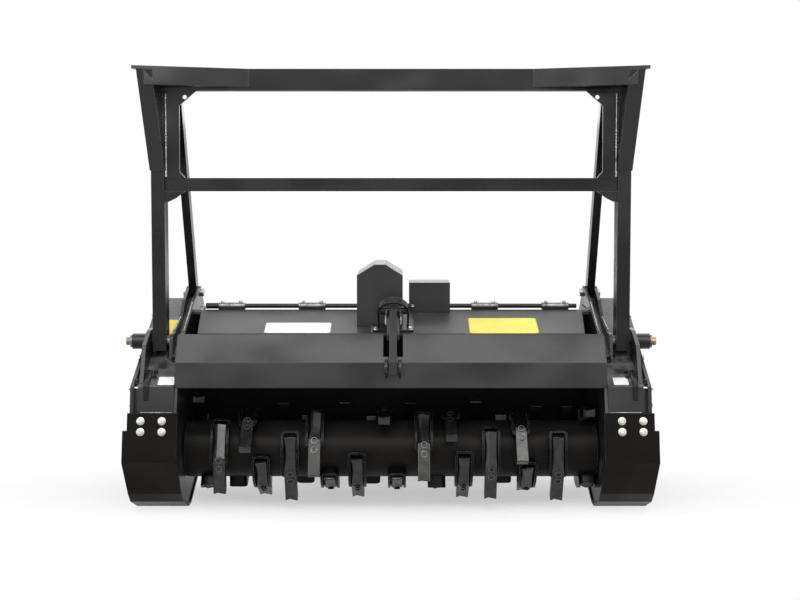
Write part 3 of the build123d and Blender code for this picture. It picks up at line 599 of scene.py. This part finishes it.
# a place on a plane that a side line stands for
def onLine(line, across, depth, lift=0.0):
    (startDepth, startHeight), (endDepth, endHeight) = line
    height = startHeight + (endHeight - startHeight) * (depth - startDepth) / (endDepth - startDepth)
    return spot(across, depth, height) + normalOf(*line) * lift / 1000


bolts = {
    "shoe": {"radius": 0.0148, "height": 0.010, "depths": (31.0, 23.0), "across": (-911, -833.5, 841.6, 919)},
    "foot": {"radius": 0.010, "height": 0.008, "lift": 0.2,
             "places": ((-66, 452), (82, 452), (-59.6, 268), (71.5, 268))},
    "cover": {"radius": 0.0115, "height": 0.0075, "across": 954.6},
    "hinge": {"radius": 0.0085, "height": 0.0075, "top": 765.2},
    "knob": {"radius": 0.015, "height": 0.024, "across": 816, "depth": 222},
    "strap": {"radius": 0.0085, "height": 0.012, "places": ((918, 113), (874, 146), (874, 118), (936, 92))},
}
spec = bolts["shoe"]
shoePlaces = [facing(onLine(shoeLine, across, depth), normalOf(*shoeLine), across)
              for across in spec["across"] for depth in spec["depths"]]
finished(stamped(makeBolt(spec["radius"], spec["height"]), shoePlaces, "shoeBolts"), "frame", "zincSteel")
spec = bolts["foot"]
footPlaces = [facing(onLine(footLine, across, depth, spec["lift"]), normalOf(*footLine), across)
              for across, depth in spec["places"]]
finished(stamped(makeBolt(spec["radius"], spec["height"]), footPlaces, "footPlateBolts"),
         "frame", "zincSteel")
print("bolts placed")


# A plate across the frame from (across, height) points, with round holes in it
def framePlate(points, holes, front, back):
    clearSelection()
    bpy.ops.mesh.primitive_circle_add(vertices=len(points), radius=1)
    plate = bpy.context.object
    startEdit(plate)
    mesh = bmesh.from_edit_mesh(plate.data)
    mesh.verts.ensure_lookup_table()
    for vertex, (across, height) in zip(mesh.verts, points):
        vertex.co = spot(across, front, height)
    bmesh.update_edit_mesh(plate.data)
    for across, height, radius in holes:
        bpy.ops.mesh.primitive_circle_add(
            vertices=20, radius=radius / 1000, location=spot(across, front, height), rotation=(math.pi / 2, 0, 0))
    bpy.ops.mesh.select_all(action="SELECT")
    bpy.ops.mesh.fill(use_beauty=True)
    bpy.ops.mesh.select_all(action="SELECT")
    bpy.ops.mesh.extrude_region_move(TRANSFORM_OT_translate={"value": (0, (back - front) / 1000, 0)})
    endEdit(plate)
    return plate


# outlines of the corner plates as (across, height) pairs, and the hole's place and radius
gusset = {
    "tall": ((852, 1257), (773, 1257), (795, 1282), (794, 1528.5), (729, 1584), (852, 1584)), "hole": (773, 1560.3, 8),
    "small": ((852, 1209), (773, 1209), (812, 1181), (836, 1169), (852, 1167)),
}
for side, nodeName in ((-1, "post_gusset_left"), (1, "post_gusset_right")):
    low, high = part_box(nodeName)
    front, back = ((value + halfLength) * 1000 for value in (low[1], high[1]))
    across, height, radius = gusset["hole"]
    tall = framePlate([(side * x, z) for x, z in gusset["tall"]], [(side * across, height, radius)], front, back)
    small = framePlate([(side * x, z) for x, z in gusset["small"]], [], front, back)
    plate = joined([tall, small], "gussetPlateLeft" if side < 0 else "gussetPlateRight")
    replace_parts(finished(plate, "frame", "framePaint"), nodeName)


# A thin plate of unit size with rounded corners
def makePlate(corner):
    clearSelection()
    bpy.ops.mesh.primitive_plane_add(size=1)
    plate = bpy.context.object
    startEdit(plate)
    bpy.ops.mesh.select_all(action="SELECT")
    bpy.ops.mesh.bevel(offset=corner, segments=3, affect="VERTICES")
    bpy.ops.mesh.select_all(action="SELECT")
    bpy.ops.mesh.extrude_region_move(TRANSFORM_OT_translate={"value": (0, 0, 1)})
    bpy.ops.mesh.inset(thickness=corner * 0.25, depth=0.3)
    endEdit(plate)
    return plate


# A round sleeve, pin or washer of unit size, with eased rims
def makeSleeve():
    clearSelection()
    bpy.ops.mesh.primitive_cylinder_add(vertices=24, radius=0.5, depth=1, location=(0, 0, 0.5))
    sleeve = bpy.context.object
    startEdit(sleeve)
    pick(sleeve, lambda face: abs(face.normal.z) > 0.9)
    bpy.ops.mesh.inset(thickness=0.05, depth=0.012, use_individual=True)
    bpy.ops.mesh.inset(thickness=0.12, use_individual=True)
    bpy.ops.mesh.inset(thickness=0.02, depth=-0.02, use_individual=True)
    endEdit(sleeve)
    return sleeve


def beadPlace(start, end, radius):
    run = end - start
    turn = run.to_track_quat("Z", "Y").to_matrix().to_4x4()
    return Matrix.Translation(start) @ turn @ Matrix.Diagonal((radius * 2, radius * 2, run.length, 1))


def rodPlace(low, high, depth, height, radius):
    return beadPlace(spot(low, depth, height), spot(high, depth, height), radius / 1000)


def bothSides(low, high, depth, height, radius):
    return [rodPlace(side * low, side * high, depth, height, radius) for side in (-1, 1)]


hinge = {
    "centres": (-635, -316, 370, 650), "half": 52.4, "depth": 493, "height": 752, "radius": 13.6, "bolts": (-36, 35),
    "rodEnd": (-737, -689), "rodRadius": 11.8,
}
pivot = (272, 637.3)
basePin = (230, 759)
postRod = {"across": 845.5, "depth": 240, "radius": 0.0036, "heights": ((1284, 1370), (1438, 1542))}
link = {"radius": 0.003, "places": ((757, 498, 758), (777, 498, 741), (776, 498, 741), (799, 498, 752))}
# depth and height of the bolts round each side cover; the first three show their shanks
coverBolts = ((79, 488), (260, 574), (540, 709), (645, 750), (748, 738), (797, 640), (797, 480), (735, 300), (84, 425))
linkEnds = [spot(*place) for place in link["places"]]
sleeves = [
    ("hingeSleeves", "dullSteel", "frame_paint", [
        rodPlace(middle - hinge["half"], middle + hinge["half"], hinge["depth"], hinge["height"], hinge["radius"])
        for middle in hinge["centres"]]),
    ("rodEndSleeve", "framePaint", "frame_paint", [
        rodPlace(*hinge["rodEnd"], hinge["depth"], hinge["height"], hinge["rodRadius"])]),
    ("basePinCollars", "zincSteel", "zinc_steel", [
        rodPlace(-26, -20, *basePin, 11.5), rodPlace(36, 42, *basePin, 11.5)]),
    ("pivotSpacers", "dullSteel", "frame_paint", bothSides(840.2, 851.6, *pivot, 22)),
    ("pivotWashers", "dullSteel", "frame_paint", bothSides(984.2, 991.8, *pivot, 24.4)),
    ("pivotHeads", "bronzeBolt", "zinc_steel", bothSides(992.2, 1007.6, *pivot, 15.5)),
    ("coverShanks", "zincSteel", "zinc_steel", [
        place for at in coverBolts[:3] for place in bothSides(925.7, 941.3, *at, 5)]),
    # bright rods between the posts' weld stitches: a painted highlight along the weld line
    ("postWeldGlints", "brightWeld", "frame_paint", [
        beadPlace(*(spot(side * postRod["across"], postRod["depth"], height) for height in ends), postRod["radius"])
        for side in (-1, 1) for ends in postRod["heights"]]),
    ("bentLink", "dullSteel", "frame_paint", [
        beadPlace(*linkEnds[:2], link["radius"]), beadPlace(*linkEnds[2:], link["radius"])]),
]
for name, finish, slotName, places in sleeves:
    finished(stamped(makeSleeve(), places, name), "frame", finish)

spec = bolts["cover"]
coverPlaces = [facing(spot(side * spec["across"], *at), (side, 0, 0), at[0]) for side in (-1, 1) for at in coverBolts]
finished(stamped(makeBolt(spec["radius"], spec["height"]), coverPlaces, "coverBoltHeads"),
         "frame", "zincSteel")
spec = bolts["hinge"]
hingeBolts = [facing(spot(middle + step, hinge["depth"], spec["top"]), (0, 0, 1), middle)
              for middle in hinge["centres"] for step in hinge["bolts"]]
finished(stamped(makeBolt(spec["radius"], spec["height"]), hingeBolts, "hingeBolts"),
         "frame", "zincSteel")
spec = bolts["knob"]
knobs = [facing(onLine(slopeLine, side * spec["across"], spec["depth"]), normalOf(*slopeLine), 0.3) for side in (-1, 1)]
finished(stamped(makeBolt(spec["radius"], spec["height"]), knobs, "slopeKnobs"), "frame", "darkBolt")
spec = bolts["strap"]
strapBolts = [facing(onLine(slopeLine, side * where, depth), normalOf(*slopeLine), where)
              for side in (-1, 1) for where, depth in spec["places"]]
finished(stamped(makeBolt(spec["radius"], spec["height"]), strapBolts, "strapBolts"),
         "frame", "darkBolt")

# the strap that holds each ear, bent over the front edge of its side box
earStrap = {
    "outline": ((150, 534.8), (65.2, 494), (65.2, 446), (60, 441), (54, 446), (54, 499), (58, 504), (146, 546)),
    "sides": ((-905, -886), (886, 905)), "edge": 0.0015,
}
straps = []
for low, high in earStrap["sides"]:
    strap = outlinePlate(earStrap["outline"], low, high)
    bpy.ops.mesh.select_mode(type="EDGE")
    pick(strap, lambda edge: edge.calc_face_angle(0) > math.radians(40), "edges")
    bpy.ops.mesh.bevel(offset=earStrap["edge"], segments=2, affect="EDGES", clamp_overlap=True)
    endEdit(strap)
    strap.data.transform(Matrix.Translation(spot(0, 0, 0)))
    straps.append(strap)
finished(joined(straps, "earStraps"), "frame", "framePaint")

# the open ring on the end of the hinge rod
rodRing = {"place": (-750, 484, 745), "radius": 0.0095, "wire": 0.0026, "narrow": 0.72}
clearSelection()
bpy.ops.mesh.primitive_torus_add(
    major_radius=rodRing["radius"], minor_radius=rodRing["wire"], major_segments=28, minor_segments=8,
    location=spot(*rodRing["place"]), rotation=(math.pi / 2, 0, 0))
ring = bpy.context.object
startEdit(ring)
pick(ring, lambda face: middleOf(face).x > 0.004)
bpy.ops.transform.resize(value=(1, rodRing["narrow"], 1))
endEdit(ring)
finished(ring, "frame", "brightWeld")
ring.name = "rodRing"

# bright pipes along the cylinder; their light metal also paints the highlights down the barrel's sides
pipe = {"across": (-19, 35), "depth": 226, "height": 764, "run": (0, -200, -189), "length": 0.075, "radius": 0.0045}
axis = Vector(pipe["run"]).normalized()
starts = [spot(across, pipe["depth"], pipe["height"]) for across in pipe["across"]]
pipes = [beadPlace(start, start + axis * pipe["length"], pipe["radius"]) for start in starts]
finished(stamped(makeSleeve(), pipes, "cylinderPipes"), "barrel", "brightWeld")
print("small fittings placed")


# blank plates and labels: where they lie on a side line, in millimetres, and their finish
plates = [
    {"name": "whitePlate", "line": deckLine, "across": (-484, -231), "depth": (254, 348), "finish": "whitePlate"},
    {"name": "yellowPlate", "line": deckLine, "across": (298, 563), "depth": (250, 393), "finish": "yellowPlate"},
    {"name": "sidePlate", "line": slopeLine, "across": (-893, -841), "depth": (384, 484), "finish": "yellowPlate"},
    {"name": "leftLabel", "line": slopeLine, "across": (-857, -795), "depth": (76, 122), "finish": "whitePlate"},
    {"name": "rightLabel", "line": slopeLine, "across": (819, 874), "depth": (76, 118), "finish": "whitePlate"},
]
plateShape = {"thick": 0.0012, "lift": 0.0001, "corner": 0.06}
for spec in plates:
    (low, high), (near, far) = spec["across"], spec["depth"]
    start, end = onLine(spec["line"], low, near), onLine(spec["line"], low, far)
    middle = (start + onLine(spec["line"], high, far)) / 2
    normal, along = normalOf(*spec["line"]), (end - start).normalized()
    size = Matrix.Diagonal(((high - low) / 1000, (end - start).length, plateShape["thick"], 1))
    turn = Matrix((Vector((1, 0, 0)), along, normal)).transposed().to_4x4()
    place = Matrix.Translation(middle + normal * plateShape["lift"]) @ turn @ size
    finished(stamped(makePlate(plateShape["corner"]), [place], spec["name"]), "frame", spec["finish"])
print("blank plates placed:", len(plates))


beadShape = {"sides": 10, "steps": 14, "ripple": 1.16, "end": 0.5}


# Weld beads: one rippled bead of unit size, copied along each seam
def makeBead():
    clearSelection()
    bpy.ops.mesh.primitive_circle_add(vertices=beadShape["sides"], radius=0.5, fill_type="NGON")
    bead = bpy.context.object
    startEdit(bead)
    steps, ripple = beadShape["steps"], beadShape["ripple"]
    for step in range(steps):
        bpy.ops.mesh.select_mode(type="FACE")
        pick(bead, lambda face: middleOf(face).z > step / steps - 1e-4)
        bpy.ops.mesh.extrude_region_move(TRANSFORM_OT_translate={"value": (0, 0, 1 / steps)})
        size = ripple if step % 2 == 0 else 1 / ripple
        if step == steps - 1:
            size = beadShape["end"]
        bpy.ops.transform.resize(value=(size, size, 1))
    endEdit(bead)
    return bead


# places for short beads with gaps along a seam
def stitches(start, end, long, gap, radius):
    run = end - start
    count = max(1, round((run.length + gap) / (long + gap)))
    step = (run.length + gap) / count
    way = run.normalized()
    return [beadPlace(start + way * step * index, start + way * (step * index + step - gap), radius)
            for index in range(count)]


# bead lengths, gaps and radii are in metres, places in millimetres
welds = {
    "post": {"across": 845.5, "depth": 239, "heights": ((1262, 1285), (1368, 1440), (1540, 1574)),
             "bead": (0.011, 0.001, 0.0052)},
    "wingTop": {"ends": ((852, 235, 1583), (902, 235, 1583)), "radius": 0.0042},
    # the end plate's top edge, the rib's top edge and the shoe's top: light beads that paint the highlights along these
    # edges
    "plateTop": {"ends": ((789.5, 262, 677), (789.5, 470, 766)), "bead": (0.007, 0.003, 0.0028)},
    "ribTop": {"ends": ((834, 317, 675.5), (834, 466, 710)), "bead": (0.024, 0.001, 0.0026)},
    "shoeTop": {"ends": ((913, 37, 404), (797, 37, 404)), "bead": (0.010, 0.001, 0.0014)},
    # outer ear and rib to the side box
    "box": {"across": (909, 926, 833, 847), "depths": (235, 415), "radius": 0.00378},
    "foot": {"across": (-73, 83), "depths": (264, 466), "bead": (0.008, 0.004, 0.0028)},
}
seams, highlightSeams = [], []
for side in (-1, 1):
    spec = welds["post"]
    for heights in spec["heights"]:
        ends = [spot(side * spec["across"], spec["depth"], height) for height in heights]
        highlightSeams += stitches(*ends, *spec["bead"])
    spec = welds["wingTop"]
    seams.append(beadPlace(*(spot(side * x, depth, height) for x, depth, height in spec["ends"]), spec["radius"]))
    for seam in ("plateTop", "ribTop", "shoeTop"):
        ends = [spot(side * x, depth, height) for x, depth, height in welds[seam]["ends"]]
        highlightSeams += stitches(*ends, *welds[seam]["bead"])
    spec = welds["box"]
    for across in spec["across"]:
        seams.append(beadPlace(*(onLine(slopeLine, side * across, depth) for depth in spec["depths"]), spec["radius"]))
spec = welds["foot"]
for across in spec["across"]:
    highlightSeams += stitches(*(onLine(deckLine, across, depth) for depth in spec["depths"]), *spec["bead"])
finished(stamped(makeBead(), seams, "weldBeads"), "frame", "framePaint")
# light metal beads on the seams: welds whose bright colour is a painted highlight, and on the rib top only a highlight
finished(stamped(makeBead(), highlightSeams, "highlightWelds"), "frame", "brightWeld")
print("welds laid:", len(seams) + len(highlightSeams))


# Studio: pale floor, white backdrop for the eye and for gloss, soft lamps
studio = {
    "floorSize": 60, "floorDrop": 0.0006, "floorTones": (0.85, 0.87), "floorGloss": 0.45,
    "eye": 0.5, "fade": (0.55, 1.25), "spread": (0.7, 2.4),
    "world": 0.52, "front": 0.2, "rise": (0.02, 0.4), "back": (-0.15, 0.3),
    "lamps": [
        {"name": "topLamp", "place": (0.0, -2.9, 3.7), "aim": (0, -0.3, 0.6), "size": (4.8, 2.5), "power": 86},
        {"name": "midLamp", "place": (0.0, -4.3, 2.9), "aim": (0, -0.3, 0.5), "size": (4.6, 1.1), "power": 27},
        {"name": "overLamp", "place": (0.0, 2.0, 4.1), "aim": (0, 0, 0.6), "size": (4.8, 1.8), "power": 44},
        {"name": "frontLamp", "place": (0.0, -5.8, 1.6), "aim": (0, 0, 0.8), "size": (4.6, 0.7), "power": 7},
        {"name": "backLamp", "place": (0.0, 4.0, 2.4), "aim": (0, 0, 0.6), "size": (5.0, 1.6), "power": 40},
        {"name": "leftLamp", "place": (-4.3, -4.4, 1.7), "aim": (0, 0, 0.7), "size": (1.3, 2.8), "power": 34},
        {"name": "rightLamp", "place": (4.3, -4.4, 1.7), "aim": (0, 0, 0.7), "size": (1.3, 2.8), "power": 26},
    ],
}
clearSelection()
bpy.ops.mesh.primitive_plane_add(size=studio["floorSize"], location=(0, 0, -studio["floorDrop"]))
floor = bpy.context.object
floor.name = "studioFloor"
floorFinish = Finish("floorFinish")
tint = floorFinish.mix(floorFinish.noise(0.6, 2.0), *((tone, tone, tone) for tone in studio["floorTones"]))
floorFinish.set(Base_Color=tint, Roughness=0.9)
white = floorFinish.node("ShaderNodeEmission", {}, {"Color": (1, 1, 1), "Strength": 1.0})
seenFloor = floorFinish.node("ShaderNodeMixShader", {}, {
    0: floorFinish.wrap(studio["floorGloss"]) * studio["eye"],
    1: Signal(floorFinish, floorFinish.shader.outputs[0]), 2: white})
# the floor fades into the white backdrop away from the machine
spread = floorFinish.node("ShaderNodeVectorMath", {"operation": "MULTIPLY"}, {
    0: floorFinish.place, 1: (*studio["spread"], 1)})
away = floorFinish.node("ShaderNodeVectorMath", {"operation": "LENGTH"}, {0: spread}, "Value")
clear = floorFinish.node("ShaderNodeBsdfTransparent", {}, {})
fade = floorFinish.node("ShaderNodeMixShader", {}, {0: away.above(*studio["fade"]), 1: seenFloor, 2: clear})
floorFinish.join(fade, floorFinish.output.inputs["Surface"])
floor.data.materials.append(floorFinish.material)

world = bpy.data.worlds.new("studioWorld")
bpy.context.scene.world = world
world.use_nodes = True
sky = NodeMaker(world.node_tree)
ground = sky.tree.nodes["Background"]
ground.inputs["Color"].default_value = (1, 1, 1, 1)
ground.inputs["Strength"].default_value = studio["world"]
# gloss sees a white surround that is dimmer low down in front
way = sky.node("ShaderNodeTexCoord", {}, {}, "Generated")
backward, upward = (sky.node("ShaderNodeSeparateXYZ", {}, {"Vector": way}, axis) for axis in "YZ")
behind = backward.above(*studio["back"])
bright = behind.reckon("MAXIMUM", behind, upward.above(*studio["rise"]))
gloss = bright * (1 - studio["front"]) + studio["front"]
seen = sky.node("ShaderNodeBackground", {}, {"Color": (1, 1, 1), "Strength": 1.0})
both = sky.node("ShaderNodeMixShader", {}, {0: sky.wrap(gloss), 1: Signal(sky, ground.outputs[0]), 2: seen})
sky.join(both, sky.tree.nodes["World Output"].inputs["Surface"])

for spec in studio["lamps"]:
    lamp = bpy.data.lights.new(spec["name"], "AREA")
    lamp.shape = "RECTANGLE"
    lamp.size, lamp.size_y = spec["size"]
    lamp.energy = spec["power"]
    stand = bpy.data.objects.new(spec["name"], lamp)
    stand.location = spec["place"]
    stand.rotation_euler = (Vector(spec["aim"]) - Vector(spec["place"])).to_track_quat("-Z", "Y").to_euler()
    bpy.context.scene.collection.objects.link(stand)
print("studio lit")
